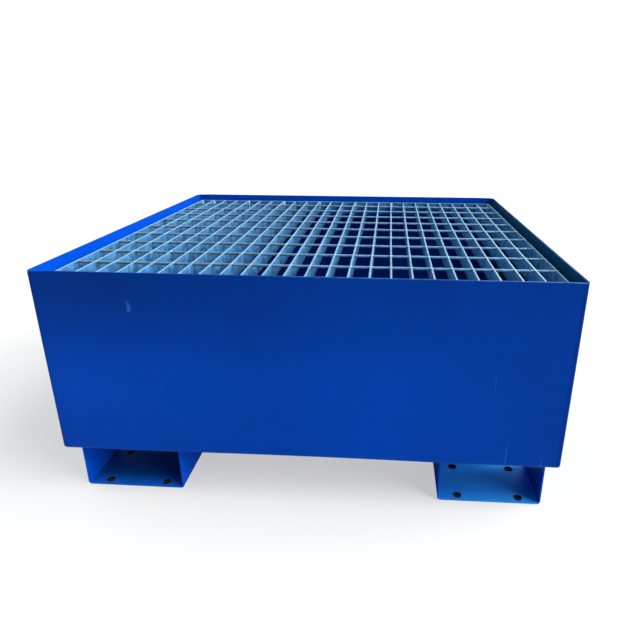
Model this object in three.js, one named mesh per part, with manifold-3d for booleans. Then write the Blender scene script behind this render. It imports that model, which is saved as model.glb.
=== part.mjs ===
// Spill containment pallet: a welded sheet steel sump on four folded feet, with a loose bar grating
// lying inside its rim. Millimetres. X is the width, the front faces -Y, Z is up from the floor,
// and the origin is on the floor under the middle of the sump.
import * as THREE from 'three';
import { mergeVertices } from 'three/addons/utils/BufferGeometryUtils.js';
import Module from 'manifold-3d';

// Driving dimensions
const sumpWidth = 850;
const sumpDepth = 800;
const sumpHeight = 322; // floor underside to rim
const sheet = 3; // thickness of every wall, foot and ledge
const foldRadius = 6; // outside of every fold
const gap = 0.3; // left between pieces that touch

const foot = { width: 180, depth: 106, height: 96, inset: 15, setback: 28 };
const footHole = { radius: 7.5, spacingX: 107, spacingY: 82 };

const ledge = { width: 30, drop: 30, endClearance: 2 };

const grating = { depth: 782, belowRim: 15 };
const bar = { count: 25, pitch: 34.3, height: 30, thickness: 3 };
const rod = { count: 10, pitch: 76.2, size: 5, first: -357, belowBarTop: 0.3, overhang: 1.5 };

const foldSteps = 6; // flats round a quarter turn of a fold
const holeSteps = 32; // flats round a drilled hole

// Heights and reaches that follow from them
const sumpBottom = foot.height;
const rim = sumpBottom + sumpHeight;
const gratingTop = rim - grating.belowRim;
const gratingBottom = gratingTop - bar.height;
const gratingWidth = (bar.count - 1) * bar.pitch + bar.thickness;
const panWidth = sumpWidth - 2 * (sheet + gap);

const bluePaint = new THREE.MeshStandardMaterial({ color: 0x0a45a0, roughness: 0.42, metalness: 0.1 });
const zinc = new THREE.MeshStandardMaterial({ color: 0x9fb4c4, roughness: 0.45, metalness: 0.85 });

const pallet = new THREE.Group();

function addPiece(name, geometry, material, position = [0, 0, 0]) {
  const mesh = new THREE.Mesh(geometry, material);
  mesh.name = name;
  mesh.position.set(...position);
  pallet.add(mesh);
}

function arc(centreX, centreY, radius, from, to) {
  const points = [];
  for (let i = 0; i <= foldSteps; i += 1) {
    const angle = from + ((to - from) * i) / foldSteps;
    points.push(new THREE.Vector2(centreX + radius * Math.cos(angle), centreY + radius * Math.sin(angle)));
  }
  return points;
}

// Prisms drawn in a plane with the second coordinate up, and centred along their length.
function prismAlongY(outline, length) {
  const geometry = new THREE.ExtrudeGeometry(new THREE.Shape(outline), { depth: length, bevelEnabled: false });
  return geometry.translate(0, 0, -length / 2).rotateX(Math.PI / 2);
}

function prismAlongX(outline, length) {
  return prismAlongY(outline, length).rotateZ(Math.PI / 2);
}

// The section of a channel folded from sheet: a flat base with two walls up, standing on its base.
function channelOutline(width, height) {
  const half = width / 2;
  const centre = half - foldRadius;
  const inside = foldRadius - sheet;
  const quarter = Math.PI / 2;
  return [
    new THREE.Vector2(-half + sheet, height),
    new THREE.Vector2(-half, height),
    ...arc(-centre, foldRadius, foldRadius, 2 * quarter, 3 * quarter),
    ...arc(centre, foldRadius, foldRadius, 3 * quarter, 4 * quarter),
    new THREE.Vector2(half, height),
    new THREE.Vector2(half - sheet, height),
    ...arc(centre, foldRadius, inside, 4 * quarter, 3 * quarter),
    ...arc(-centre, foldRadius, inside, 3 * quarter, 2 * quarter),
  ];
}

// A side panel follows the outside of the pan, so its two lower corners are as round as the folds.
function sidePanelOutline() {
  const half = sumpDepth / 2;
  const centre = half - foldRadius;
  const quarter = Math.PI / 2;
  return [
    new THREE.Vector2(-half, sumpHeight),
    ...arc(-centre, foldRadius, foldRadius, 2 * quarter, 3 * quarter),
    ...arc(centre, foldRadius, foldRadius, 3 * quarter, 4 * quarter),
    new THREE.Vector2(half, sumpHeight),
  ];
}

function addSump() {
  const pan = prismAlongX(channelOutline(sumpDepth, sumpHeight), panWidth);
  addPiece('sump_pan', pan, bluePaint, [0, 0, sumpBottom]);
  for (const [side, sign] of [['left', -1], ['right', 1]]) {
    const panel = prismAlongX(sidePanelOutline(), sheet);
    addPiece(`side_panel_${side}`, panel, bluePaint, [sign * (sumpWidth - sheet) / 2, 0, sumpBottom]);
  }
}

// An angle welded along the inside of the front and rear walls carries the ends of the bars.
function addLedges() {
  const length = panWidth - 2 * ledge.endClearance;
  const top = gratingBottom - gap;
  const wallFace = sumpDepth / 2 - sheet - gap;
  for (const [end, sign] of [['front', -1], ['rear', 1]]) {
    const outline = [
      new THREE.Vector2(0, 0),
      new THREE.Vector2(0, -ledge.drop),
      new THREE.Vector2(sheet, -ledge.drop),
      new THREE.Vector2(sheet, -sheet),
      new THREE.Vector2(ledge.width, -sheet),
      new THREE.Vector2(ledge.width, 0),
    ];
    const angle = prismAlongX(outline, length);
    if (sign > 0) {
      angle.rotateZ(Math.PI);
    }
    addPiece(`grating_ledge_${end}`, angle, bluePaint, [0, sign * wallFace, top]);
  }
}

// Booleans: a three.js geometry in, a solid for cutting, and a geometry back.
const wasm = await Module();
wasm.setup();

function toSolid(geometry) {
  const bare = geometry.clone();
  bare.deleteAttribute('normal');
  bare.deleteAttribute('uv');
  const merged = mergeVertices(bare, 1e-4);
  const vertProperties = new Float32Array(merged.attributes.position.array);
  const triVerts = new Uint32Array(merged.index.array);
  return new wasm.Manifold(new wasm.Mesh({ numProp: 3, vertProperties, triVerts }));
}

function toGeometry(solid) {
  const { vertProperties, triVerts, numProp } = solid.getMesh();
  const geometry = new THREE.BufferGeometry();
  const positions = new Float32Array((vertProperties.length / numProp) * 3);
  for (let i = 0; i < positions.length / 3; i += 1) {
    positions.set(vertProperties.subarray(i * numProp, i * numProp + 3), i * 3);
  }
  geometry.setAttribute('position', new THREE.BufferAttribute(positions, 3));
  geometry.setIndex(new THREE.BufferAttribute(new Uint32Array(triVerts), 1));
  geometry.computeVertexNormals();
  return geometry;
}

// A foot is a channel open to the front and rear, with a fixing hole near each corner of its base.
function footGeometry() {
  let solid = toSolid(prismAlongY(channelOutline(foot.width, foot.height - gap), foot.depth));
  for (const signX of [-1, 1]) {
    for (const signY of [-1, 1]) {
      const drill = new THREE.CylinderGeometry(footHole.radius, footHole.radius, 4 * sheet, holeSteps);
      drill.rotateX(Math.PI / 2);
      drill.translate((signX * footHole.spacingX) / 2, (signY * footHole.spacingY) / 2, sheet / 2);
      solid = solid.subtract(toSolid(drill));
    }
  }
  return toGeometry(solid);
}

function addFeet() {
  const x = sumpWidth / 2 - foot.inset - foot.width / 2;
  const y = sumpDepth / 2 - foot.setback - foot.depth / 2;
  for (const [end, signY] of [['front', -1], ['rear', 1]]) {
    for (const [side, signX] of [['left', -1], ['right', 1]]) {
      addPiece(`foot_${end}_${side}`, footGeometry(), bluePaint, [signX * x, signY * y, 0]);
    }
  }
}

function rodY(index) {
  return rod.first + index * rod.pitch;
}

// A bearing bar stands on edge between the two end bands, notched from above for every cross rod.
function barOutline() {
  const half = grating.depth / 2 - bar.thickness - gap;
  const notchHalf = rod.size / 2 + gap;
  const notchFloor = bar.height - rod.belowBarTop - rod.size - gap;
  const points = [
    new THREE.Vector2(half, bar.height),
    new THREE.Vector2(half, 0),
    new THREE.Vector2(-half, 0),
    new THREE.Vector2(-half, bar.height),
  ];
  for (let i = 0; i < rod.count; i += 1) {
    points.push(new THREE.Vector2(rodY(i) - notchHalf, bar.height));
    points.push(new THREE.Vector2(rodY(i) - notchHalf, notchFloor));
    points.push(new THREE.Vector2(rodY(i) + notchHalf, notchFloor));
    points.push(new THREE.Vector2(rodY(i) + notchHalf, bar.height));
  }
  return points;
}

function addGrating() {
  const twoDigits = (number) => String(number).padStart(2, '0');
  for (let i = 0; i < bar.count; i += 1) {
    const x = (i - (bar.count - 1) / 2) * bar.pitch;
    const geometry = prismAlongX(barOutline(), bar.thickness);
    addPiece(`bearing_bar_${twoDigits(i + 1)}`, geometry, zinc, [x, 0, gratingBottom]);
  }
  const rodLength = gratingWidth + 2 * rod.overhang;
  const rodHeight = gratingTop - rod.belowBarTop - rod.size / 2;
  for (let i = 0; i < rod.count; i += 1) {
    const name = `cross_rod_${twoDigits(i + 1)}`;
    const geometry = new THREE.BoxGeometry(rodLength, rod.size, rod.size);
    addPiece(name, geometry, zinc, [0, rodY(i), rodHeight]);
  }
  const bandY = (grating.depth - bar.thickness) / 2;
  for (const [end, sign] of [['front', -1], ['rear', 1]]) {
    const band = new THREE.BoxGeometry(gratingWidth, bar.thickness, bar.height);
    addPiece(`end_band_${end}`, band, zinc, [0, sign * bandY, gratingBottom + bar.height / 2]);
  }
}

addSump();
addLedges();
addFeet();
addGrating();

export default pallet;
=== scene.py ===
import math

import bmesh
import bpy
from mathutils import Euler, Matrix, Vector, noise


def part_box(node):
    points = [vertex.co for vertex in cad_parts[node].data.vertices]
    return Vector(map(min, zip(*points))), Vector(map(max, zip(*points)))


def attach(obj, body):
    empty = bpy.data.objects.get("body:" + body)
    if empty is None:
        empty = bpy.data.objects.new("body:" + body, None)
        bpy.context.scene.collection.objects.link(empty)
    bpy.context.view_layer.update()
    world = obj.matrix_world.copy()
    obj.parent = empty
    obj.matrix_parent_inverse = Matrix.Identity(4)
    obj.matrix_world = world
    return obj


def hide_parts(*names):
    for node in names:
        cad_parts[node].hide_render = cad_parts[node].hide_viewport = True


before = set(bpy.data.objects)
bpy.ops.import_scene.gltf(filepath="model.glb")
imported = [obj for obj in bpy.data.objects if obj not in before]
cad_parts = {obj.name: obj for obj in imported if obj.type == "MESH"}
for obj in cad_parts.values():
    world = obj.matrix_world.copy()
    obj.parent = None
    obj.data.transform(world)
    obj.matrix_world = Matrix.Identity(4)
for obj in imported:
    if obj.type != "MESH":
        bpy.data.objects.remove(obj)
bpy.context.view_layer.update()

noise.seed_set(7)  # without it noise_vector is different in every run

mm = 0.001
cutTolerance = 0.000001
mergeDistance = 0.00001

panLow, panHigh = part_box("sump_pan")
panelInner, panelOuter = (corner.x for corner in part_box("side_panel_right"))
sheet = panelOuter - panelInner


def linkMesh(bm, name):
    mesh = bpy.data.meshes.new(name)
    bm.to_mesh(mesh)
    bm.free()
    piece = bpy.data.objects.new(name, mesh)
    bpy.context.scene.collection.objects.link(piece)
    return piece


def finishMesh(bm, name, body, material, replaced=(), sharpAngle=35):
    bmesh.ops.remove_doubles(bm, verts=bm.verts, dist=mergeDistance)
    bmesh.ops.recalc_face_normals(bm, faces=bm.faces)
    for edge in bm.edges:
        edge.smooth = len(edge.link_faces) == 2 and edge.calc_face_angle() < math.radians(sharpAngle)
    for face in bm.faces:
        face.smooth = True
    piece = linkMesh(bm, name)
    piece.data.materials.append(material)
    weighted = piece.modifiers.new("flatFacesStayFlat", "WEIGHTED_NORMAL")
    weighted.keep_sharp = True
    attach(piece, body)
    if replaced:
        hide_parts(*replaced)
    return piece


def sharpEdges(bm, degrees=50):
    return [e for e in bm.edges if len(e.link_faces) == 2 and e.calc_face_angle() > math.radians(degrees)]


def newVerts(made):
    return [item for item in made["geom"] if isinstance(item, bmesh.types.BMVert)]


def roundOff(bm, geom, radius, segments=2, affect="EDGES"):
    bmesh.ops.bevel(bm, geom=geom, offset=radius, offset_type="OFFSET", segments=segments,
                    profile=0.5, affect=affect, clamp_overlap=True, material=-1)


def slicePlane(bm, place, normal, **options):
    geom = bm.verts[:] + bm.edges[:] + bm.faces[:]
    bmesh.ops.bisect_plane(bm, geom=geom, dist=cutTolerance, plane_co=place, plane_no=normal, **options)


def sliceAlong(bm, axis, low, high, step):
    count = max(1, round((high - low) / step))
    normal = Vector((0, 0, 0))
    normal[axis] = 1
    for i in range(1, count):
        slicePlane(bm, normal * (low + (high - low) * i / count), normal)


def foldedSheet(points, pull, foldRadius, segments, thickness, outwards):
    # an open section is pulled along and folded, and thickened on the side away from outwards
    bm = bmesh.new()
    path = [bm.verts.new(point) for point in points]
    edges = [bm.edges.new(pair) for pair in zip(path, path[1:])]
    made = bmesh.ops.extrude_edge_only(bm, edges=edges)
    bmesh.ops.translate(bm, vec=pull, verts=newVerts(made))
    roundOff(bm, [e for e in bm.edges if len(e.link_faces) == 2], foldRadius, segments)
    bmesh.ops.recalc_face_normals(bm, faces=bm.faces)
    level = max(bm.faces, key=lambda f: abs(f.normal.z) * f.calc_area())
    if level.normal.z * outwards < 0:
        bmesh.ops.reverse_faces(bm, faces=bm.faces)
    bmesh.ops.solidify(bm, geom=bm.faces[:], thickness=thickness)
    return bm


def foldedChannel(halfWidth, low, high, start, end, foldRadius, along):
    corners = [(-halfWidth, high), (-halfWidth, low), (halfWidth, low), (halfWidth, high)]
    if along == "x":
        points = [(start, a, b) for a, b in corners]
        pull = (end - start, 0, 0)
    else:
        points = [(a, start, b) for a, b in corners]
        pull = (0, end - start, 0)
    return foldedSheet(points, pull, foldRadius, 8, sheet, -1)


viewPoint = {
    "place": (0.12969, -1.16173, 0.65185),
    "turn": (69.6743, -0.1810, 3.7345),
    "lens": 30.185,
    "shift": (-0.0501, -0.0189),
}

studio = {
    "floorSize": 60,
    "floorTone": 0.58,
    "underFeetTone": 0.02,
    "underFeetMargin": (6 * mm, 0.5 * mm),
    "shadowLift": 0.5,
    "ambient": (0.74, 0.86, 1.0),
    "ambientStrength": 0.26,
    "seenStrength": 1.0,
}

suns = {
    "keyFromRight": {"strength": 8.2, "turn": (0, 57, -10), "softness": 60, "colour": (1, 0.98, 0.95)},
    "rearFill": {"strength": 1.2, "turn": (-68, 0, -32), "softness": 40, "colour": (1, 1, 1)},
    "leftFill": {"strength": 1.9, "turn": (0, -50, -10), "softness": 70, "colour": (0.92, 1, 0.95)},
}


def buildCamera():
    data = bpy.data.cameras.new("mainView")
    data.lens = viewPoint["lens"]
    data.sensor_width = 36
    data.shift_x, data.shift_y = viewPoint["shift"]
    data.clip_start = 0.01
    camera = bpy.data.objects.new("mainView", data)
    camera.location = viewPoint["place"]
    camera.rotation_euler = Euler([math.radians(a) for a in viewPoint["turn"]], "XYZ")
    bpy.context.scene.collection.objects.link(camera)
    bpy.context.scene.camera = camera
    print("camera placed")


def addSun(name, strength, turn, softness, colour):
    data = bpy.data.lights.new(name, "SUN")
    data.energy = strength
    data.angle = math.radians(softness)
    data.color = colour
    sun = bpy.data.objects.new(name, data)
    sun.rotation_euler = Euler([math.radians(a) for a in turn], "XYZ")
    bpy.context.scene.collection.objects.link(sun)


def floorMaterial():
    # pale all over, but dark where no light gets in under the feet
    material, tree, shader, place = startMaterial("paleFloor")
    shader.inputs["Roughness"].default_value = 0.9
    shader.inputs["Specular IOR Level"].default_value = 0.1
    parts = addNode(tree, "SeparateXYZ", {0: place})
    low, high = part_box("foot_front_right")
    marginX, marginY = studio["underFeetMargin"]
    covered = 1.0
    for label, a, b, margin in (("X", low.x, high.x, marginX), ("Y", -high.y, -low.y, marginY)):
        distance = absolute(tree, difference(tree, absolute(tree, parts.outputs[label]), (a + b) / 2))
        inside = mathNode(tree, "LESS_THAN", distance, (b - a) / 2 - margin)
        covered = product(tree, inside, covered)
    pale, dark = studio["floorTone"], studio["underFeetTone"]
    tone = mixColour(tree, covered, (pale, pale, pale, 1), (dark, dark, dark, 1))
    tree.links.new(tone, shader.inputs["Base Color"])
    # the shadows are kept light where the floor is looked at
    glow = addNode(tree, "Emission", {"Color": (1, 1, 1, 1), "Strength": 1.0})
    seen = product(tree, addNode(tree, "LightPath").outputs["Is Camera Ray"], studio["shadowLift"],
                   difference(tree, 1.0, covered))
    lift = addNode(tree, "MixShader", {0: seen, 1: shader.outputs["BSDF"], 2: glow.outputs["Emission"]})
    tree.links.new(lift.outputs["Shader"], tree.nodes["Material Output"].inputs["Surface"])
    return material


def buildFloor():
    bm = bmesh.new()
    bmesh.ops.create_grid(bm, x_segments=1, y_segments=1, size=studio["floorSize"])
    floor = linkMesh(bm, "floor")
    floor.data.materials.append(floorMaterial())


def buildStudio():
    buildFloor()
    # the air is white to look at, and a dim blue where it lights the object
    world = bpy.data.worlds.new("studioAir")
    bpy.context.scene.world = world
    world.use_nodes = True
    tree = world.node_tree
    tree.nodes.clear()
    path = addNode(tree, "LightPath")
    ambient = (*studio["ambient"], 1)
    dim = addNode(tree, "Background", {"Color": ambient, "Strength": studio["ambientStrength"]})
    pale = addNode(tree, "Background", {"Color": (1, 1, 1, 1), "Strength": studio["seenStrength"]})
    mix = addNode(tree, "MixShader", {0: path.outputs["Is Camera Ray"], 1: dim.outputs["Background"],
                                      2: pale.outputs["Background"]})
    addNode(tree, "OutputWorld", {"Surface": mix.outputs["Shader"]})
    for name, look in suns.items():
        addSun(name, **look)
    bpy.context.scene.view_settings.view_transform = "Standard"
    print("floor and lights placed")


def newGroup(name, inputs, outputs):
    group = bpy.data.node_groups.new(name, "ShaderNodeTree")
    for label, kind, value in inputs:
        socket = group.interface.new_socket(name=label, in_out="INPUT", socket_type="NodeSocket" + kind)
        if value is not None:
            socket.default_value = value
    for label, kind in outputs:
        group.interface.new_socket(name=label, in_out="OUTPUT", socket_type="NodeSocket" + kind)
    return group, group.nodes.new("NodeGroupInput"), group.nodes.new("NodeGroupOutput")


def plug(tree, socket, value):
    if isinstance(value, bpy.types.NodeSocket):
        tree.links.new(value, socket)
    else:
        socket.default_value = value


def addNode(tree, kind, inputs=None, **settings):
    node = tree.nodes.new("ShaderNode" + kind)
    for key, value in settings.items():
        setattr(node, key, value)
    for key, value in (inputs or {}).items():
        plug(tree, node.inputs[key], value)
    return node


def mathNode(tree, operation, *values):
    return addNode(tree, "Math", dict(enumerate(values)), operation=operation).outputs[0]


def product(tree, first, *others):
    for other in others:
        first = mathNode(tree, "MULTIPLY", first, other)
    return first


def difference(tree, first, second):
    return mathNode(tree, "SUBTRACT", first, second)


def absolute(tree, value):
    return mathNode(tree, "ABSOLUTE", value)


def rangeNode(tree, value, fromLow, fromHigh, toLow=0.0, toHigh=1.0, smooth=True):
    inputs = {"Value": value, "From Min": fromLow, "From Max": fromHigh, "To Min": toLow, "To Max": toHigh}
    node = addNode(tree, "MapRange", inputs, interpolation_type="SMOOTHSTEP" if smooth else "LINEAR")
    return node.outputs["Result"]


def mixColour(tree, factor, first, second):
    node = addNode(tree, "Mix", data_type="RGBA")
    for socket, value in zip((node.inputs[0], node.inputs[6], node.inputs[7]), (factor, first, second)):
        plug(tree, socket, value)
    return node.outputs[2]


def noiseNode(tree, place, scale, detail, roughness=0.5):
    inputs = {"Vector": place, "Scale": scale, "Detail": detail, "Roughness": roughness}
    return addNode(tree, "TexNoise", inputs)


def useGroup(tree, group, **inputs):
    node = tree.nodes.new("ShaderNodeGroup")
    node.node_tree = group
    for key, value in inputs.items():
        plug(tree, node.inputs[key.replace("_", " ")], value)
    return node


def startMaterial(name):
    material = bpy.data.materials.new(name)
    material.use_nodes = True
    tree = material.node_tree
    return material, tree, tree.nodes["Principled BSDF"], addNode(tree, "TexCoord").outputs["Object"]


def buildCoatGroup():
    # sprayed powder: a fine orange peel, a broad drift of tone and gloss
    inputs = [("Vector", "Vector", None), ("Peel Size", "Float", 420.0), ("Drift Size", "Float", 3.5)]
    outputs = [("Tone", "Float"), ("Gloss", "Float"), ("Height", "Float")]
    group, start, end = newGroup("powderCoat", inputs, outputs)
    place = start.outputs["Vector"]
    peel = noiseNode(group, place, start.outputs["Peel Size"], 2.0, 0.45).outputs["Fac"]
    drift = noiseNode(group, place, start.outputs["Drift Size"], 3.0).outputs["Fac"]
    cloud = noiseNode(group, place, 38.0, 4.0).outputs["Fac"]
    tone = mathNode(group, "MULTIPLY_ADD", cloud, 0.3, product(group, drift, 0.7))
    group.links.new(rangeNode(group, tone, 0.3, 0.7), end.inputs["Tone"])
    group.links.new(rangeNode(group, cloud, 0.3, 0.7), end.inputs["Gloss"])
    group.links.new(peel, end.inputs["Height"])
    return group


def buildScuffGroup():
    # thin handling marks: stretched noise, kept only where a second noise allows it
    inputs = [("Vector", "Vector", None), ("Stretch", "Vector", (260.0, 260.0, 9.0)), ("Share", "Float", 0.6)]
    group, start, end = newGroup("scuffs", inputs, [("Mask", "Float")])
    place, share = start.outputs["Vector"], start.outputs["Share"]
    stretched = addNode(group, "VectorMath", {0: place, 1: start.outputs["Stretch"]}, operation="MULTIPLY")
    streak = noiseNode(group, stretched.outputs["Vector"], 1.0, 2.0).outputs["Fac"]
    patch = noiseNode(group, place, 5.5, 3.0).outputs["Fac"]
    allowed = rangeNode(group, patch, share, mathNode(group, "ADD", share, 0.08))
    group.links.new(product(group, rangeNode(group, streak, 0.69, 0.74), allowed), end.inputs["Mask"])
    return group


def buildStrokeGroup():
    # one thin rubbed line up or down the front wall, broken up along its length
    inputs = [("Vector", "Vector", None), ("Across", "Float", 0.0), ("Foot", "Float", 0.0),
              ("Top", "Float", 0.1), ("Width", "Float", 0.001)]
    group, start, end = newGroup("rubbedLine", inputs, [("Mask", "Float")])
    foot, top = start.outputs["Foot"], start.outputs["Top"]
    parts = addNode(group, "SeparateXYZ", {0: start.outputs["Vector"]})
    wander = noiseNode(group, start.outputs["Vector"], 35.0, 3.0).outputs["Fac"]
    across = mathNode(group, "ADD", difference(group, parts.outputs["X"], start.outputs["Across"]),
                      mathNode(group, "MULTIPLY_ADD", wander, 4 * mm, -2 * mm))
    line = rangeNode(group, absolute(group, across), start.outputs["Width"], 0.0)
    rise = rangeNode(group, parts.outputs["Z"], foot, mathNode(group, "ADD", foot, 6 * mm))
    fall = rangeNode(group, parts.outputs["Z"], top, difference(group, top, 20 * mm))
    front = mathNode(group, "LESS_THAN", parts.outputs["Y"], 1.5 * mm - panHigh.y)
    broken = rangeNode(group, wander, 0.35, 0.6, 0.3, 1.0)
    group.links.new(product(group, line, rise, fall, front, broken), end.inputs["Mask"])
    return group


def buildHeightFadeGroup():
    # how far a point is up a band of height, 0 at its foot and 1 at its top
    inputs = [("Vector", "Vector", None), ("Foot", "Float", 0.0), ("Top", "Float", 1.0)]
    group, start, end = newGroup("heightFade", inputs, [("Share", "Float")])
    parts = addNode(group, "SeparateXYZ", {0: start.outputs["Vector"]})
    share = rangeNode(group, parts.outputs["Z"], start.outputs["Foot"], start.outputs["Top"])
    group.links.new(share, end.inputs["Share"])
    return group


def buildZincGroup():
    # hot-dip zinc: crystals of different tone, a cloudy bloom and a fine grain
    inputs = [("Vector", "Vector", None), ("Crystal Size", "Float", 95.0), ("Bloom Size", "Float", 26.0)]
    outputs = [("Tone", "Float"), ("Gloss", "Float"), ("Height", "Float")]
    group, start, end = newGroup("zincBloom", inputs, outputs)
    place = start.outputs["Vector"]
    warp = noiseNode(group, place, 60.0, 2.0).outputs["Color"]
    offset = addNode(group, "VectorMath", {0: warp, 1: (6 * mm, 6 * mm, 6 * mm)}, operation="MULTIPLY")
    moved = addNode(group, "VectorMath", {0: place, 1: offset.outputs["Vector"]}, operation="ADD")
    crystals = addNode(group, "TexVoronoi", {"Vector": moved.outputs["Vector"],
                                             "Scale": start.outputs["Crystal Size"], "Randomness": 1.0})
    crystalTone = addNode(group, "SeparateXYZ", {0: crystals.outputs["Color"]})
    bloom = noiseNode(group, place, start.outputs["Bloom Size"], 5.0, 0.62).outputs["Fac"]
    fine = noiseNode(group, place, 480.0, 3.0).outputs["Fac"]
    tone = mathNode(group, "MULTIPLY_ADD", bloom, 0.85, product(group, crystalTone.outputs["X"], 0.45))
    tone = rangeNode(group, difference(group, tone, 0.16), 0.2, 0.76, smooth=False)
    gloss = mathNode(group, "MULTIPLY_ADD", crystalTone.outputs["Y"], 0.5, product(group, fine, 0.5))
    group.links.new(tone, end.inputs["Tone"])
    group.links.new(gloss, end.inputs["Gloss"])
    group.links.new(mathNode(group, "MULTIPLY_ADD", fine, 0.35, bloom), end.inputs["Height"])
    return group


coatGroup = buildCoatGroup()
scuffGroup = buildScuffGroup()
strokeGroup = buildStrokeGroup()
fadeGroup = buildHeightFadeGroup()
zincGroup = buildZincGroup()

marks = {
    # painted shade inside the sump below the grating and on the right wall's inner side
    "insideShade": 0.35,
    "insideShadeTone": (0.0004, 0.075, 0.30, 1),
    "insideShadeDepths": (14 * mm, 40 * mm),  # below the rim
    "rightWallShade": 0.88,
    "rightWallShadeTone": (0.0015, 0.033, 0.055, 1),
    "rimBand": (1.6 * mm, 0.6 * mm),  # below the rim
    "rimHighlightSpan": (-0.3, 0.12),  # from the left, where the front rim's painted highlight is faint
    "paleShare": (0.08, 0.62),
    # painted shade on the right rim
    "rightRimShade": 0.7,
    # worn paint, also the colour of the painted highlights
    "wornAndHighlightTone": (0.06, 0.22, 0.46, 1),
    # painted shade on the upright corners, deeper towards the right
    "corner": (0.2, 0.6),
    "paintedShadeTone": (0.0001, 0.012, 0.080, 1),
    # painted shade on the outside of the front and rear walls
    "frontShade": 0.22,
    "upperShade": (0.24, 0.50),
    "lowerShade": 0.2,
    "shadeStart": 0.22,  # height above the ground
    # painted highlight along the bottom fold
    "foldHighlight": 0.045,
    "stroke": 0.4,
    "strokes": ((0.334, 0.100, 0.150, 0.0009), (0.392, 0.096, 0.124, 0.0012), (0.305, 0.235, 0.275, 0.0007),
                (-0.270, 0.352, 0.378, 0.0050)),  # across, foot, top and width of each
    "scuff": 0.55,
    "bumpStrength": 0.35,
}
panelPaint = {
    **marks, "deep": (0.0001, 0.038, 0.310, 1), "light": (0.0002, 0.047, 0.385, 1), "gloss": (0.28, 0.36),
    "shine": 0.02, "scuffShare": 0.62, "scuffTone": (0.03, 0.12, 0.48, 1), "peel": 0.00004,
}
weldPaint = {
    **marks, "deep": (0.0004, 0.038, 0.32, 1), "light": (0.001, 0.050, 0.40, 1), "gloss": (0.30, 0.45),
    "shine": 0.08, "scuffShare": 0.55, "scuffTone": (0.10, 0.2, 0.5, 1), "peel": 0.00008,
}
footPaint = {
    **marks, "deep": (0.0001, 0.048, 0.38, 1), "light": (0.0002, 0.060, 0.48, 1), "gloss": (0.30, 0.42),
    "shine": 0.02, "scuffShare": 0.5, "scuffTone": (0.10, 0.20, 0.46, 1), "peel": 0.00006,
    # settled dust and painted light on the base plates
    "dustAndLight": 0.9,
    "dustAndLightTone": (0.018, 0.22, 0.62, 1),
    # painted light on the right plates towards the middle of the pallet
    "plateLight": 0.85,
    "plateLightSpan": (0.35, 0.27),  # from the middle of the pallet
    "plateLightTone": (0.04, 0.40, 0.90, 1),
    # painted highlight on the right plates' inner edge
    "bare": 0.8,
    "bareTone": (0.35, 0.70, 0.95, 1),
    # painted shade on the left plates behind their front edge
    "leftPlateShade": 0.6,
    "leftPlateShadeSpan": (0.372, 0.335),  # from the middle of the pallet
    # painted shade inside the outer flange of the right feet
    "flangeShade": 0.5,
    "footShadeTone": (0.001, 0.016, 0.035, 1),
    # worn lip with a painted highlight, and painted shade inside the holes
    "lipWearAndHighlight": 0.5,
    "lipWearAndHighlightTone": (0.10, 0.24, 0.44, 1),
    "holeShadeTone": (0.0005, 0.004, 0.012, 1),
}
footShape = {
    "foldRadius": 6 * mm,
    "edgeRound": 0.6 * mm,
    "holeRadius": 7.5 * mm,
    "holeSpacing": (107 * mm, 82 * mm),
    "holeSides": 32,
    "drillLength": 20 * mm,
}


def insideShadeTones(tree, parts, colour, look):
    # painted shade on the inside below the grating, and on the right wall's inner side it reaches the rim
    insideX = mathNode(tree, "LESS_THAN", absolute(tree, parts.outputs["X"]), panHigh.x + 0.5 * mm)
    insideY = mathNode(tree, "LESS_THAN", absolute(tree, parts.outputs["Y"]), panHigh.y - 2.5 * mm)
    above = mathNode(tree, "GREATER_THAN", parts.outputs["Z"], panLow.z + mm)
    inside = product(tree, insideX, insideY, above)
    start, full = look["insideShadeDepths"]
    below = rangeNode(tree, parts.outputs["Z"], panHigh.z - start, panHigh.z - full)
    colour = mixColour(tree, product(tree, inside, below, look["insideShade"]), colour, look["insideShadeTone"])
    rightWall = mathNode(tree, "GREATER_THAN", parts.outputs["X"], panHigh.x - 0.2 * mm)
    return mixColour(tree, product(tree, inside, rightWall, look["rightWallShade"]), colour, look["rightWallShadeTone"])


def rimTones(tree, place, parts, gloss, colour, look):
    # the front rim gets a painted highlight, most of all on the right, and the right rim gets painted shade
    start, full = look["rimBand"]
    fade = useGroup(tree, fadeGroup, Vector=place, Foot=panHigh.z - start, Top=panHigh.z - full)
    rim = fade.outputs["Share"]
    frontRim = mathNode(tree, "LESS_THAN", parts.outputs["Y"], 3.5 * mm - panHigh.y)
    paleShare = rangeNode(tree, parts.outputs["X"], *look["rimHighlightSpan"], *look["paleShare"])
    uneven = rangeNode(tree, gloss, 0.2, 0.8, 0.4, 1.0)
    colour = mixColour(tree, product(tree, frontRim, paleShare, uneven, rim), colour, look["wornAndHighlightTone"])
    rightRimShade = mathNode(tree, "GREATER_THAN", parts.outputs["X"], panHigh.x - 0.5 * mm)
    return mixColour(tree, product(tree, rightRimShade, rim, look["rightRimShade"]), colour, look["paintedShadeTone"])


def cornerShadeTones(tree, parts, colour, look):
    # painted shade on the upright corners, deeper towards the right
    cornerX = rangeNode(tree, absolute(tree, parts.outputs["X"]), panHigh.x - 8 * mm, panHigh.x)
    cornerY = rangeNode(tree, absolute(tree, parts.outputs["Y"]), panHigh.y - 3.5 * mm, panHigh.y - mm)
    across = rangeNode(tree, parts.outputs["X"], -0.4, 0.4, *look["corner"])
    return mixColour(tree, product(tree, cornerX, cornerY, across), colour, look["paintedShadeTone"])


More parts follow.
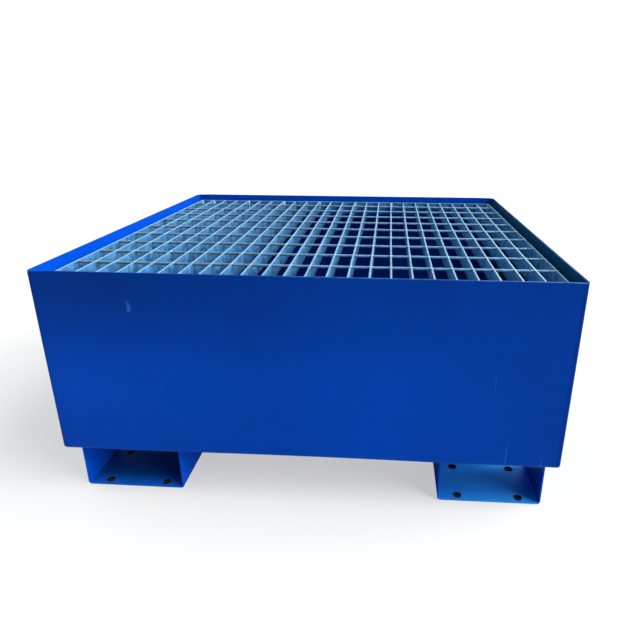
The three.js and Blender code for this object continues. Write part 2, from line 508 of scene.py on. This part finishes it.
def wallLightAndShade(tree, parts, colour, look):
    # painted shade on the outside of the front and rear walls, deeper towards the top left and at the lower
    # right, and a painted highlight along the bottom fold
    outside = mathNode(tree, "GREATER_THAN", absolute(tree, parts.outputs["Y"]), panHigh.y - 1.2 * mm)
    upper = rangeNode(tree, parts.outputs["Z"], look["shadeStart"], panHigh.z)
    shade = product(tree, upper, rangeNode(tree, parts.outputs["X"], 0.4, -0.42, *look["upperShade"]))
    lower = product(tree, difference(tree, 1.0, upper),
                    rangeNode(tree, parts.outputs["X"], 0.15, 0.42, 0.0, look["lowerShade"]))
    shade = mathNode(tree, "ADD", mathNode(tree, "ADD", shade, lower), look["frontShade"])
    colour = mixColour(tree, product(tree, outside, shade), colour, look["paintedShadeTone"])
    fold = rangeNode(tree, parts.outputs["Z"], panLow.z + 8 * mm, panLow.z + 4 * mm)
    return mixColour(tree, product(tree, outside, fold, look["foldHighlight"]), colour, look["wornAndHighlightTone"])


def dustAndLightTones(tree, parts, tone, colour, look):
    # the base plates are paler with settled dust and with painted light, the light most of all on the right
    dustAndLight = rangeNode(tree, parts.outputs["Z"], sheet + 1.2 * mm, sheet + 0.2 * mm)
    uneven = rangeNode(tree, tone, 0.0, 1.0, 0.6, 1.0)
    across = rangeNode(tree, parts.outputs["X"], -0.25, 0.25, 0.3, 1.0)
    return mixColour(tree, product(tree, dustAndLight, uneven, across, look["dustAndLight"]), colour, look["dustAndLightTone"])


def plateTones(tree, parts, colour, look):
    # painted light on the right feet's plates, growing towards the middle of the pallet
    plate = mathNode(tree, "LESS_THAN", parts.outputs["Z"], 4 * mm)
    inwards = absolute(tree, parts.outputs["Y"])
    plateLight = product(tree, rangeNode(tree, inwards, *look["plateLightSpan"]), plate,
                    rangeNode(tree, parts.outputs["X"], 0.0, 0.2, 0.0, look["plateLight"]))
    colour = mixColour(tree, plateLight, colour, look["plateLightTone"])
    # their inner edge gets a painted highlight, and their outer flange gets painted shade inside
    low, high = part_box("foot_rear_right")
    edge = product(tree, rangeNode(tree, inwards, low.y + 2.2 * mm, low.y + 0.6 * mm), plate,
                   rangeNode(tree, parts.outputs["X"], 0.0, 0.2, 0.0, look["bare"]))
    colour = mixColour(tree, edge, colour, look["bareTone"])
    beside = absolute(tree, difference(tree, parts.outputs["X"], high.x - 3 * mm))
    beside = product(tree, mathNode(tree, "LESS_THAN", beside, 0.5 * mm), look["flangeShade"])
    colour = mixColour(tree, beside, colour, look["footShadeTone"])
    # painted shade on the left feet's plates behind their front edge
    leftPlateShade = product(tree, rangeNode(tree, inwards, *look["leftPlateShadeSpan"]), plate,
                    rangeNode(tree, parts.outputs["X"], 0.0, -0.2, 0.0, look["leftPlateShade"]))
    return mixColour(tree, leftPlateShade, colour, look["footShadeTone"])


def holeLightAndShade(tree, parts, colour, look):
    # painted shade inside every fixing hole, and a paler lip: worn paint with a painted highlight
    low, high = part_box("foot_rear_right")
    centre = (low + high) / 2
    squares = []
    for label, middle, spacing in zip("XY", centre, footShape["holeSpacing"]):
        distance = difference(tree, absolute(tree, parts.outputs[label]), middle)
        distance = difference(tree, absolute(tree, distance), spacing / 2)
        squares.append(mathNode(tree, "POWER", absolute(tree, distance), 2.0))
    away = mathNode(tree, "SQRT", mathNode(tree, "ADD", *squares))
    plate = mathNode(tree, "LESS_THAN", parts.outputs["Z"], 5 * mm)
    radius = footShape["holeRadius"]
    lipWearAndHighlight = product(tree, rangeNode(tree, away, radius + 1.1 * mm, radius + 0.6 * mm), plate, look["lipWearAndHighlight"])
    inside = product(tree, rangeNode(tree, away, radius + 0.4 * mm, radius + 0.2 * mm), plate)
    return mixColour(tree, inside, mixColour(tree, lipWearAndHighlight, colour, look["lipWearAndHighlightTone"]), look["holeShadeTone"])


def paintMaterial(name, look):
    material, tree, shader, place = startMaterial(name)
    coat = useGroup(tree, coatGroup, Vector=place).outputs
    scuff = useGroup(tree, scuffGroup, Vector=place, Share=look["scuffShare"]).outputs["Mask"]
    parts = addNode(tree, "SeparateXYZ", {0: place})
    onFeet = "dustAndLight" in look
    colour = mixColour(tree, coat["Tone"], look["deep"], look["light"])
    colour = insideShadeTones(tree, parts, colour, look)
    colour = rimTones(tree, place, parts, coat["Gloss"], colour, look)
    colour = cornerShadeTones(tree, parts, colour, look)
    colour = wallLightAndShade(tree, parts, colour, look)
    for across, foot, top, width in look["strokes"]:
        stroke = useGroup(tree, strokeGroup, Vector=place, Across=across, Foot=foot, Top=top, Width=width)
        paleShare = product(tree, stroke.outputs["Mask"], look["stroke"])
        colour = mixColour(tree, paleShare, colour, look["wornAndHighlightTone"])
    if onFeet:
        colour = dustAndLightTones(tree, parts, coat["Tone"], colour, look)
    colour = mixColour(tree, product(tree, scuff, look["scuff"]), colour, look["scuffTone"])
    if onFeet:
        colour = plateTones(tree, parts, colour, look)
        colour = holeLightAndShade(tree, parts, colour, look)
    tree.links.new(colour, shader.inputs["Base Color"])
    rough = rangeNode(tree, coat["Gloss"], 0.0, 1.0, *look["gloss"], smooth=False)
    tree.links.new(mathNode(tree, "MULTIPLY_ADD", scuff, 0.2, rough), shader.inputs["Roughness"])
    bump = addNode(tree, "Bump", {"Height": coat["Height"], "Strength": look["bumpStrength"],
                                  "Distance": look["peel"]})
    tree.links.new(bump.outputs["Normal"], shader.inputs["Normal"])
    shader.inputs["Specular IOR Level"].default_value = look["shine"]
    return material


# edge is the tone of a painted highlight on the top edge and of a pale line on the bottom edge
zincBar = {
    "deep": (0.008, 0.060, 0.18, 1), "light": (0.062, 0.24, 0.47, 1), "edge": (0.17, 0.33, 0.46, 1),
    "gloss": (0.36, 0.6), "metal": (0.08, 0.3), "crystal": 105.0, "bloom": 42.0, "relief": 0.00015,
}
zincRod = {
    "deep": (0.05, 0.09, 0.13, 1), "light": (0.13, 0.19, 0.25, 1), "edge": (0.16, 0.24, 0.30, 1),
    # painted light on the rods towards the right
    "litDeep": (0.06, 0.16, 0.30, 1), "litLight": (0.14, 0.31, 0.48, 1),
    "litEdge": (0.18, 0.35, 0.50, 1),
    "litSpan": (-0.22, 0.12), "gloss": (0.3, 0.5), "metal": (0.08, 0.3), "crystal": 160.0, "bloom": 60.0,
    "relief": 0.00012,
}
zincWeld = {
    "deep": (0.25, 0.42, 0.46, 1), "light": (0.56, 0.76, 0.80, 1), "edge": (0.60, 0.78, 0.82, 1),
    "gloss": (0.26, 0.42), "metal": (0.08, 0.3), "crystal": 220.0, "bloom": 90.0, "relief": 0.0002,
}
zincForge = {
    **zincWeld, "deep": (0.11, 0.24, 0.36, 1), "light": (0.26, 0.46, 0.60, 1), "edge": (0.30, 0.50, 0.62, 1),
}


def zincMaterial(name, look):
    # the top edge gets a painted highlight, and a weaker pale line runs along the bottom edge
    material, tree, shader, place = startMaterial(name)
    bloom = useGroup(tree, zincGroup, Vector=place, Crystal_Size=look["crystal"],
                     Bloom_Size=look["bloom"]).outputs
    base = mixColour(tree, bloom["Tone"], look["deep"], look["light"])
    paleEdgeTone = look["edge"]
    if "litSpan" in look:
        # the rods get painted light towards the right and stay darker towards the left
        litShare = rangeNode(tree, addNode(tree, "SeparateXYZ", {0: place}).outputs["X"], *look["litSpan"])
        litBase = mixColour(tree, bloom["Tone"], look["litDeep"], look["litLight"])
        base = mixColour(tree, litShare, base, litBase)
        paleEdgeTone = mixColour(tree, litShare, paleEdgeTone, look["litEdge"])
    low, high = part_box("bearing_bar_01")
    top = useGroup(tree, fadeGroup, Vector=place, Foot=high.z - 1.3 * mm, Top=high.z - 0.5 * mm)
    bottom = useGroup(tree, fadeGroup, Vector=place, Foot=low.z + 1.6 * mm, Top=low.z + 0.9 * mm)
    edge = mathNode(tree, "MAXIMUM", top.outputs["Share"], product(tree, bottom.outputs["Share"], 0.6))
    edge = product(tree, edge, rangeNode(tree, bloom["Gloss"], 0.1, 0.5, 0.7, 1.0))
    tree.links.new(mixColour(tree, edge, base, paleEdgeTone), shader.inputs["Base Color"])
    rough = rangeNode(tree, bloom["Gloss"], 0.0, 1.0, *look["gloss"], smooth=False)
    tree.links.new(rough, shader.inputs["Roughness"])
    metal = rangeNode(tree, bloom["Tone"], 0.0, 1.0, *look["metal"], smooth=False)
    tree.links.new(metal, shader.inputs["Metallic"])
    bump = addNode(tree, "Bump", {"Height": bloom["Height"], "Strength": 0.5, "Distance": look["relief"]})
    tree.links.new(bump.outputs["Normal"], shader.inputs["Normal"])
    return material


paintOnPanels = paintMaterial("powderCoatPanels", panelPaint)
paintOnFeet = paintMaterial("powderCoatFeet", footPaint)
paintOnWelds = paintMaterial("powderCoatWelds", weldPaint)
zincOnBars = zincMaterial("zincBars", zincBar)
zincOnRods = zincMaterial("zincRods", zincRod)
zincOnWelds = zincMaterial("zincWelds", zincWeld)
zincOnForges = zincMaterial("zincForges", zincForge)
print("finishes ready")


sump = {
    "foldRadius": 6 * mm,
    "rimRound": 0.7 * mm,
    "cornerRadius": 6 * mm,
    "cornerStart": 0.75 * mm,
    "cornerLoops": (0.25 * mm, 0.5 * mm, 0.7 * mm, mm, 1.2 * mm, 1.6 * mm),
    "deepestDrop": 2.7 * mm,
    "rimDress": 3.6 * mm,
    "rimDressReach": 34 * mm,
    "floorRise": 1.5 * mm,
    "floorRiseReach": 215 * mm,
    "waveStep": 34 * mm,
    "waveDepth": 0.5 * mm,
    "waveLength": 0.33,
    "waveMargin": 0.08,
}


def cornerDrop(fromEdge):
    radius = sump["cornerRadius"]
    if fromEdge >= radius:
        return 0.0
    return radius - math.sqrt(max(0.0, radius ** 2 - (radius - fromEdge) ** 2))


def dish(bm, axis, sign, face, halfAcross, foot, top):
    # plate that has been welded round its edges sinks in a little between them
    for vert in bm.verts:
        co = vert.co
        across = co[1 - axis]
        room = min(halfAcross - abs(across), co.z - foot, top - co.z)
        share = max(0.0, min(1.0, room / sump["waveMargin"]))
        if share > 0 and abs(abs(co[axis]) - face) < 2 * sheet and co[axis] * sign > 0:
            swell = 0.5 + 0.5 * noise.noise(Vector((across, co.z, sign * 3.0 + axis)) / sump["waveLength"])
            co[axis] -= sign * share * share * swell * sump["waveDepth"]


def dressRimCorners(bm):
    # the four corners of the rim are ground down
    size = sump["cornerRadius"]
    for vert in bm.verts:
        shareX = 1 - (panelOuter - abs(vert.co.x)) / size
        shareY = 1 - (panHigh.y - abs(vert.co.y)) / size
        shareZ = 1 - (panHigh.z - vert.co.z) / sump["rimDressReach"]
        if min(shareX, shareY, shareZ) > 0:
            vert.co.z -= min(1.0, 2 * shareX * shareY) ** 1.5 * shareZ * sump["rimDress"]


def buildPan():
    low, high, fold = panLow, panHigh, sump["foldRadius"]
    bm = foldedChannel(high.y, low.z, high.z, -panelInner, panelInner, fold, "x")
    sliceAlong(bm, 0, -panelInner, panelInner, sump["waveStep"])
    sliceAlong(bm, 2, low.z + fold, high.z, sump["waveStep"])
    for share in (0.25, 0.5, 0.75, 1):
        x = panelInner - (sump["cornerRadius"] - sheet) * share
        for place in (-x, x):
            slicePlane(bm, (place, 0, 0), (1, 0, 0))
    for sign in (-1, 1):
        dish(bm, 1, sign, high.y, panelInner, low.z + fold, high.z)
    # the floor bows up between the feet
    for vert in bm.verts:
        share = 1 - min(1.0, abs(vert.co.x) / sump["floorRiseReach"]) ** 2
        if vert.co.z < low.z + fold + mm:
            vert.co.z += share * sump["floorRise"]
    # both ends are ground round towards the side panels
    for vert in bm.verts:
        overY, overZ = abs(vert.co.y) - (high.y - fold), low.z + fold - vert.co.z
        away = Vector((0, math.copysign(max(0.0, overY), vert.co.y), -max(0.0, overZ)))
        if away.length > fold - 0.1 * mm:
            vert.co -= away.normalized() * cornerDrop(panelOuter - abs(vert.co.x))
    dressRimCorners(bm)
    roundOff(bm, sharpEdges(bm, 70), sump["rimRound"])
    finishMesh(bm, "sumpPan", "tray", paintOnPanels, ["sump_pan"])


def buildSidePanel(side):
    # the plate's edges are ground round into the front wall, the floor and the rear wall
    node = "side_panel_" + side
    low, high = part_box(node)
    sign = 1 if side == "right" else -1
    outer, inner = (high.x, low.x) if sign > 0 else (low.x, high.x)
    fold, start = sump["foldRadius"], sump["cornerStart"]
    ends, base, top = (low.y + start, high.y - start), low.z + start, high.z + 2 * fold
    corners = [(ends[0], base), (ends[1], base), (ends[1], top), (ends[0], top)]
    bm = bmesh.new()
    bm.faces.new([bm.verts.new((outer, a, b)) for a, b in corners])
    roundOff(bm, [v for v in bm.verts if v.co.z < low.z + mm], fold - start, 8, "VERTICES")
    for step in sump["cornerLoops"]:
        face = max(bm.faces, key=lambda f: f.calc_area())
        bmesh.ops.inset_region(bm, faces=[face], thickness=step, use_boundary=True, use_even_offset=True)
    sliceAlong(bm, 1, low.y, high.y, sump["waveStep"])
    sliceAlong(bm, 2, low.z, high.z, sump["waveStep"])
    for vert in bm.verts:
        overY, overZ = abs(vert.co.y) - (high.y - fold), low.z + fold - vert.co.z
        if overY > 0 and overZ > 0:
            fromEdge = fold - math.hypot(overY, overZ)
        else:
            fromEdge = min(high.y - abs(vert.co.y), vert.co.z - low.z)
        vert.co.x -= sign * min(sump["deepestDrop"], cornerDrop(fromEdge))
    dish(bm, 0, sign, abs(outer), high.y, low.z + fold, high.z)
    made = bmesh.ops.extrude_face_region(bm, geom=bm.faces[:])
    for vert in newVerts(made):
        vert.co.x = inner
    # the spare above the rim is cut away, which leaves the rim flat
    slicePlane(bm, (0, 0, high.z), (0, 0, 1), clear_outer=True)
    bmesh.ops.holes_fill(bm, edges=[e for e in bm.edges if len(e.link_faces) == 1], sides=0)
    rim = [e for e in sharpEdges(bm, 60) if all(v.co.z > high.z - 0.01 * mm for v in e.verts)]
    dressRimCorners(bm)
    roundOff(bm, rim, sump["rimRound"])
    finishMesh(bm, "sidePanel" + side.capitalize(), "tray", paintOnPanels, [node])


cornerSeam = {
    "width": 1.4 * mm,
    "depth": 2.0 * mm,
    "recess": 0.95 * mm,
    "foot": 3.6 * mm,  # above the bottom of the pan
    "belowRim": 3.2 * mm,
    "step": 12 * mm,
    "edgeRound": 0.3 * mm,
}


def buildCornerSeams():
    # the ground weld that closes each upright corner
    middle = (panelInner + panHigh.x) / 2
    base, top = panLow.z + cornerSeam["foot"], panHigh.z - cornerSeam["belowRim"]
    size = Matrix.Diagonal((cornerSeam["width"], cornerSeam["depth"], top - base, 1))
    bm = bmesh.new()
    for signX in (-1, 1):
        for signY in (-1, 1):
            y = signY * (panHigh.y - cornerSeam["recess"] - cornerSeam["depth"] / 2)
            place = Matrix.Translation((signX * middle, y, (base + top) / 2))
            bmesh.ops.create_cube(bm, size=1, matrix=place @ size)
    sliceAlong(bm, 2, panLow.z, panHigh.z, cornerSeam["step"])
    upright = [e for e in sharpEdges(bm) if abs(e.verts[0].co.z - e.verts[1].co.z) > mm]
    roundOff(bm, upright, cornerSeam["edgeRound"], 1)
    finishMesh(bm, "cornerSeams", "tray", paintOnWelds, sharpAngle=60)


ledgeShape = {"sheet": 3 * mm, "edgeRound": 0.6 * mm, "heelRound": 2.2 * mm}


def buildLedge(end):
    node = "grating_ledge_" + end
    low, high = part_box(node)
    wall, tip = (low.y, high.y) if end == "front" else (high.y, low.y)
    points = [(low.x, wall, low.z), (low.x, wall, high.z), (low.x, tip, high.z)]
    pull = (high.x - low.x, 0, 0)
    bm = foldedSheet(points, pull, ledgeShape["heelRound"], 4, ledgeShape["sheet"], 1)
    roundOff(bm, sharpEdges(bm, 70), ledgeShape["edgeRound"])
    finishMesh(bm, "gratingLedge" + end.capitalize(), "tray", paintOnPanels, [node])


def cutHoles(bm, centre, base):
    # the drills are taken out of a plain copy of the foot, and the cut mesh comes back
    blank = linkMesh(bm, "footBlank")
    drills = bmesh.new()
    acrossX, acrossY = footShape["holeSpacing"]
    for signX in (-1, 1):
        for signY in (-1, 1):
            place = Vector((centre.x + signX * acrossX / 2, centre.y + signY * acrossY / 2, base))
            bmesh.ops.create_cone(drills, cap_ends=True, segments=footShape["holeSides"],
                                  radius1=footShape["holeRadius"], radius2=footShape["holeRadius"],
                                  depth=footShape["drillLength"], matrix=Matrix.Translation(place))
    drill = linkMesh(drills, "footDrills")
    cut = blank.modifiers.new("cut", "BOOLEAN")
    cut.operation = "DIFFERENCE"
    cut.object = drill
    cut.solver = "EXACT"
    bpy.context.view_layer.update()
    solid = blank.evaluated_get(bpy.context.evaluated_depsgraph_get())
    result = bmesh.new()
    result.from_mesh(solid.to_mesh())
    bpy.data.objects.remove(blank)
    bpy.data.objects.remove(drill)
    return result


def buildFoot(end, side):
    node = "foot_" + end + "_" + side
    low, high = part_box(node)
    centre = (low + high) / 2
    half = (high.x - low.x) / 2
    bm = foldedChannel(half, low.z, high.z, low.y, high.y, footShape["foldRadius"], "y")
    bmesh.ops.translate(bm, vec=(centre.x, 0, 0), verts=bm.verts)
    bm = cutHoles(bm, centre, low.z)
    roundOff(bm, sharpEdges(bm, 60), footShape["edgeRound"])
    finishMesh(bm, "foot" + end.capitalize() + side.capitalize(), "tray", paintOnFeet, [node])


beadShape = {
    "sides": 8,
    "ripple": 3.2 * mm,
    "stepsInRipple": 4,
    "swell": 0.16,
    "wander": 0.12,
    "endShare": 0.35,
}


def layBead(bm, points, radius, seed):
    # a round string laid along the points, swelling once for every dab of the rod
    sides = beadShape["sides"]
    lengths = [0.0]
    for a, b in zip(points, points[1:]):
        lengths.append(lengths[-1] + (b - a).length)
    steps = max(6, round(lengths[-1] / beadShape["ripple"] * beadShape["stepsInRipple"]))
    ring = None
    for i in range(steps + 1):
        travelled = lengths[-1] * i / steps
        index = max(k for k in range(len(lengths)) if lengths[k] <= travelled + 1e-9)
        index = min(index, len(points) - 2)
        piece = points[index + 1] - points[index]
        place = points[index] + piece * ((travelled - lengths[index]) / piece.length)
        phase = (travelled / beadShape["ripple"]) % 1.0
        wander = 1 + beadShape["wander"] * noise.noise(Vector((travelled * 60, seed, 0)))
        size = radius * wander * (1 - beadShape["swell"] * (1 - phase) ** 2)
        if i in (0, steps):
            size *= beadShape["endShare"]
        turn = piece.to_track_quat("Z", "Y").to_matrix().to_4x4()
        made = bmesh.ops.create_circle(bm, cap_ends=i in (0, steps), segments=sides, radius=size,
                                       matrix=Matrix.Translation(place) @ turn)
        current = made["verts"]
        if ring is not None:
            for k in range(sides):
                j = (k + 1) % sides
                bm.faces.new((ring[k], ring[j], current[j], current[k]))
        ring = current


sumpWelds = {"radius": 2.4 * mm, "sunk": 0.6 * mm, "belowRim": 2.2 * mm, "bendSteps": 6}


def buildSumpWelds():
    # the sump is tight: one run each side goes down a corner, across the floor's end and up again
    low, high, fold = panLow, panHigh, sump["foldRadius"]
    inset = sheet + sumpWelds["sunk"]
    bend, steps = fold - inset, sumpWelds["bendSteps"]
    top = high.z - sumpWelds["belowRim"]
    for side, sign in (("Left", -1), ("Right", 1)):
        x = sign * (panelInner - sumpWelds["sunk"])
        points = [Vector((x, low.y + inset, top))]
        for centre, start in ((low.y + fold, math.pi), (high.y - fold, 1.5 * math.pi)):
            for k in range(steps + 1):
                angle = start + k / steps * math.pi / 2
                y, z = centre + bend * math.cos(angle), low.z + fold + bend * math.sin(angle)
                points.append(Vector((x, y, z)))
        points.append(Vector((x, high.y - inset, top)))
        bm = bmesh.new()
        layBead(bm, points, sumpWelds["radius"], sign)
        finishMesh(bm, "sumpWeld" + side, "tray", paintOnWelds, sharpAngle=60)


footWelds = {"radius": 2.6 * mm, "length": 78 * mm, "sunk": 0.4 * mm}


def buildFootWelds():
    bm = bmesh.new()
    seed = 1.0
    for end in ("front", "rear"):
        for side in ("left", "right"):
            low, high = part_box("foot_" + end + "_" + side)
            middle, height = (low.y + high.y) / 2, panLow.z - footWelds["sunk"]
            for x in (low.x, high.x):
                seed += 7.3
                ends = [Vector((x, middle + k * footWelds["length"] / 2, height)) for k in (-1, 1)]
                layBead(bm, ends, footWelds["radius"], seed)
    finishMesh(bm, "footWelds", "tray", paintOnWelds, sharpAngle=60)


ledgeWelds = {"radius": 2.2 * mm, "length": 40 * mm, "count": 5}


def buildLedgeWelds():
    bm = bmesh.new()
    for end in ("front", "rear"):
        low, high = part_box("grating_ledge_" + end)
        wall = low.y if end == "front" else high.y
        for k in range(ledgeWelds["count"]):
            x = low.x + (high.x - low.x) * (k + 0.5) / ledgeWelds["count"]
            ends = [Vector((x + s * ledgeWelds["length"] / 2, wall, low.z)) for s in (-1, 1)]
            layBead(bm, ends, ledgeWelds["radius"], 40.0 + k + wall)
    finishMesh(bm, "ledgeWelds", "tray", paintOnWelds, sharpAngle=60)


barShape = {
    "edgeRound": 0.5 * mm,
    "step": 19 * mm,
    "wander": 0.35 * mm,
    "topDip": 0.35 * mm,
    "topSpread": 0.18 * mm,
    "bandWander": 0.15 * mm,
    "bandSunk": 0.1 * mm,
}


def gratingBars():
    return sorted(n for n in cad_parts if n.startswith("bearing_bar_"))


def gratingRods():
    return sorted(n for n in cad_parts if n.startswith("cross_rod_"))


def flatBar(low, high, axis, step):
    # a plain bar, sliced along its length and rounded along its long edges
    bm = bmesh.new()
    place = Matrix.Translation((low + high) / 2) @ Matrix.Diagonal((*(high - low), 1))
    bmesh.ops.create_cube(bm, size=1, matrix=place)
    sliceAlong(bm, axis, low[axis], high[axis], step)
    lengthways = [e for e in sharpEdges(bm) if abs(e.verts[0].co[axis] - e.verts[1].co[axis]) > 0.5 * mm]
    roundOff(bm, lengthways, barShape["edgeRound"])
    return bm


def buildBar(node, number):
    low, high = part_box(node)
    middle = (low.x + high.x) / 2
    bm = flatBar(low, high, 1, barShape["step"] / 3)
    for vert in bm.verts:
        co = vert.co
        if not low.y + mm < co.y < high.y - mm:
            continue
        co.x += noise.noise(Vector((co.y * 5.0, number * 3.7, 0))) * barShape["wander"]
        if co.z > high.z - 2 * mm:
            dip = 0.5 + 0.5 * noise.noise(Vector((co.y * 90, number, co.x * 200)))
            co.z -= barShape["topDip"] * dip
            spread = noise.noise(Vector((co.y * 120, number * 1.7, co.z * 50)))
            co.x += barShape["topSpread"] * spread * (1 if co.x > middle else -1)
    finishMesh(bm, "bearingBar%02d" % number, "grating", zincOnBars, [node])


rodShape = {
    "side": 4.5 * mm,
    "corner": 1.2 * mm,
    "turn": 137.2 * mm,
    "step": 5.72 * mm,
    "wander": 0.35 * mm,
    "bow": 0.5 * mm,
    "sunk": 0.1 * mm,
}


def buildRod(node, number):
    # a square rod, twisted along its length
    low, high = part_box(node)
    centre = (low + high) / 2
    steps = round((high.x - low.x) / rodShape["step"])
    radius = rodShape["side"] / 2 * math.sqrt(2)
    bm = bmesh.new()
    upright = Matrix.Translation((low.x, centre.y, centre.z)) @ Matrix.Rotation(math.pi / 2, 4, "Y")
    made = bmesh.ops.create_circle(bm, cap_ends=True, segments=4, radius=radius, matrix=upright)
    bmesh.ops.rotate(bm, cent=centre, matrix=Matrix.Rotation(math.pi / 4, 3, "X"), verts=made["verts"])
    roundOff(bm, made["verts"], rodShape["corner"], 1, "VERTICES")
    face = bm.faces[:][0]
    twist = Matrix.Rotation(2 * math.pi * rodShape["step"] / rodShape["turn"], 3, "X")
    for i in range(steps):
        made = bmesh.ops.extrude_face_region(bm, geom=[face])
        face = next(g for g in made["geom"] if isinstance(g, bmesh.types.BMFace))
        moved = face.verts[:]
        bmesh.ops.translate(bm, vec=((high.x - low.x) / steps, 0, 0), verts=moved)
        bmesh.ops.rotate(bm, cent=(0, centre.y, centre.z), matrix=twist, verts=moved)
    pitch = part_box("bearing_bar_02")[0].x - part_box("bearing_bar_01")[0].x
    for vert in bm.verts:
        cell = vert.co.x / pitch
        bow = math.sin(math.pi * cell) ** 2 * noise.noise(Vector((math.floor(cell) * 1.7, number * 5.1, 8.0)))
        drift = noise.noise_vector(Vector((vert.co.x * 9.0, number * 5.1, 2.0)))
        vert.co.y += drift.y * rodShape["wander"] + bow * rodShape["bow"]
        vert.co.z += drift.z * rodShape["wander"] * 0.4 - rodShape["sunk"]
    finishMesh(bm, "crossRod%02d" % number, "grating", zincOnRods, [node], sharpAngle=32)


def buildBand(end):
    node = "end_band_" + end
    low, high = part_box(node)
    bm = flatBar(low, high, 0, barShape["step"] / 2)
    for vert in bm.verts:
        wander = noise.noise(Vector((vert.co.x * 70, 9.0, 0)))
        vert.co.z += barShape["bandWander"] * wander - barShape["bandSunk"]
    finishMesh(bm, "endBand" + end.capitalize(), "grating", zincOnBars, [node])


forgeWeld = {"size": (2.5 * mm, 3.2 * mm, 1.3 * mm), "shift": mm, "lift": 0.15 * mm, "vary": (0.2, 0.25)}


def buildForgeWelds():
    # at each crossing the rod is forged into the bar, and metal is squeezed up round it
    wide, deep, tall = forgeWeld["size"]
    varyWide, varyDeep = forgeWeld["vary"]
    for number, rod in enumerate(gratingRods(), 1):
        rodLow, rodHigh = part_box(rod)
        bm = bmesh.new()
        for index, bar in enumerate(gratingBars()):
            barLow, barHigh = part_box(bar)
            wobble = noise.noise_vector(Vector((index * 3.3, number * 4.7, 1.0)))
            x = (barLow.x + barHigh.x) / 2 + wobble.x * forgeWeld["shift"]
            y = (rodLow.y + rodHigh.y) / 2 + wobble.y * forgeWeld["shift"]
            place = Matrix.Translation((x, y, barHigh.z - tall + forgeWeld["lift"] * wobble.z))
            width, depth = wide * (1 + varyWide * wobble.z), deep * (1 + varyDeep * wobble.x)
            size = Matrix.Diagonal((width, depth, tall, 1))
            bmesh.ops.create_uvsphere(bm, u_segments=10, v_segments=6, radius=1, matrix=place @ size)
        finishMesh(bm, "forgeWelds%02d" % number, "grating", zincOnForges, sharpAngle=80)


endWelds = {"radius": 2.6 * mm, "depths": (1.5 * mm, 21 * mm), "every": 3}


def buildEndWelds():
    # every third bar and the outermost two are welded to the end bands
    last = len(gratingBars()) - 1
    for end, sign in (("front", -1), ("rear", 1)):
        bandLow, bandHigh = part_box("end_band_" + end)
        inner = bandHigh.y if end == "front" else bandLow.y
        bm = bmesh.new()
        for index, bar in enumerate(gratingBars()):
            if index % endWelds["every"] != 1 and index not in (0, last):
                continue
            barLow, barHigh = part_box(bar)
            face = barHigh.x if index < last else barLow.x
            ends = [Vector((face, inner, barHigh.z - depth)) for depth in endWelds["depths"]]
            layBead(bm, ends, endWelds["radius"], index + sign)
        finishMesh(bm, "bandWelds" + end.capitalize(), "grating", zincOnWelds, sharpAngle=60)


buildCamera()
buildStudio()
buildPan()
for side in ("left", "right"):
    buildSidePanel(side)
for end in ("front", "rear"):
    buildLedge(end)
    for side in ("left", "right"):
        buildFoot(end, side)
buildCornerSeams()
buildSumpWelds()
buildFootWelds()
buildLedgeWelds()
print("tray built")
for number, node in enumerate(gratingBars(), 1):
    buildBar(node, number)
for number, node in enumerate(gratingRods(), 1):
    buildRod(node, number)
for end in ("front", "rear"):
    buildBand(end)
buildForgeWelds()
buildEndWelds()
print("grating built")
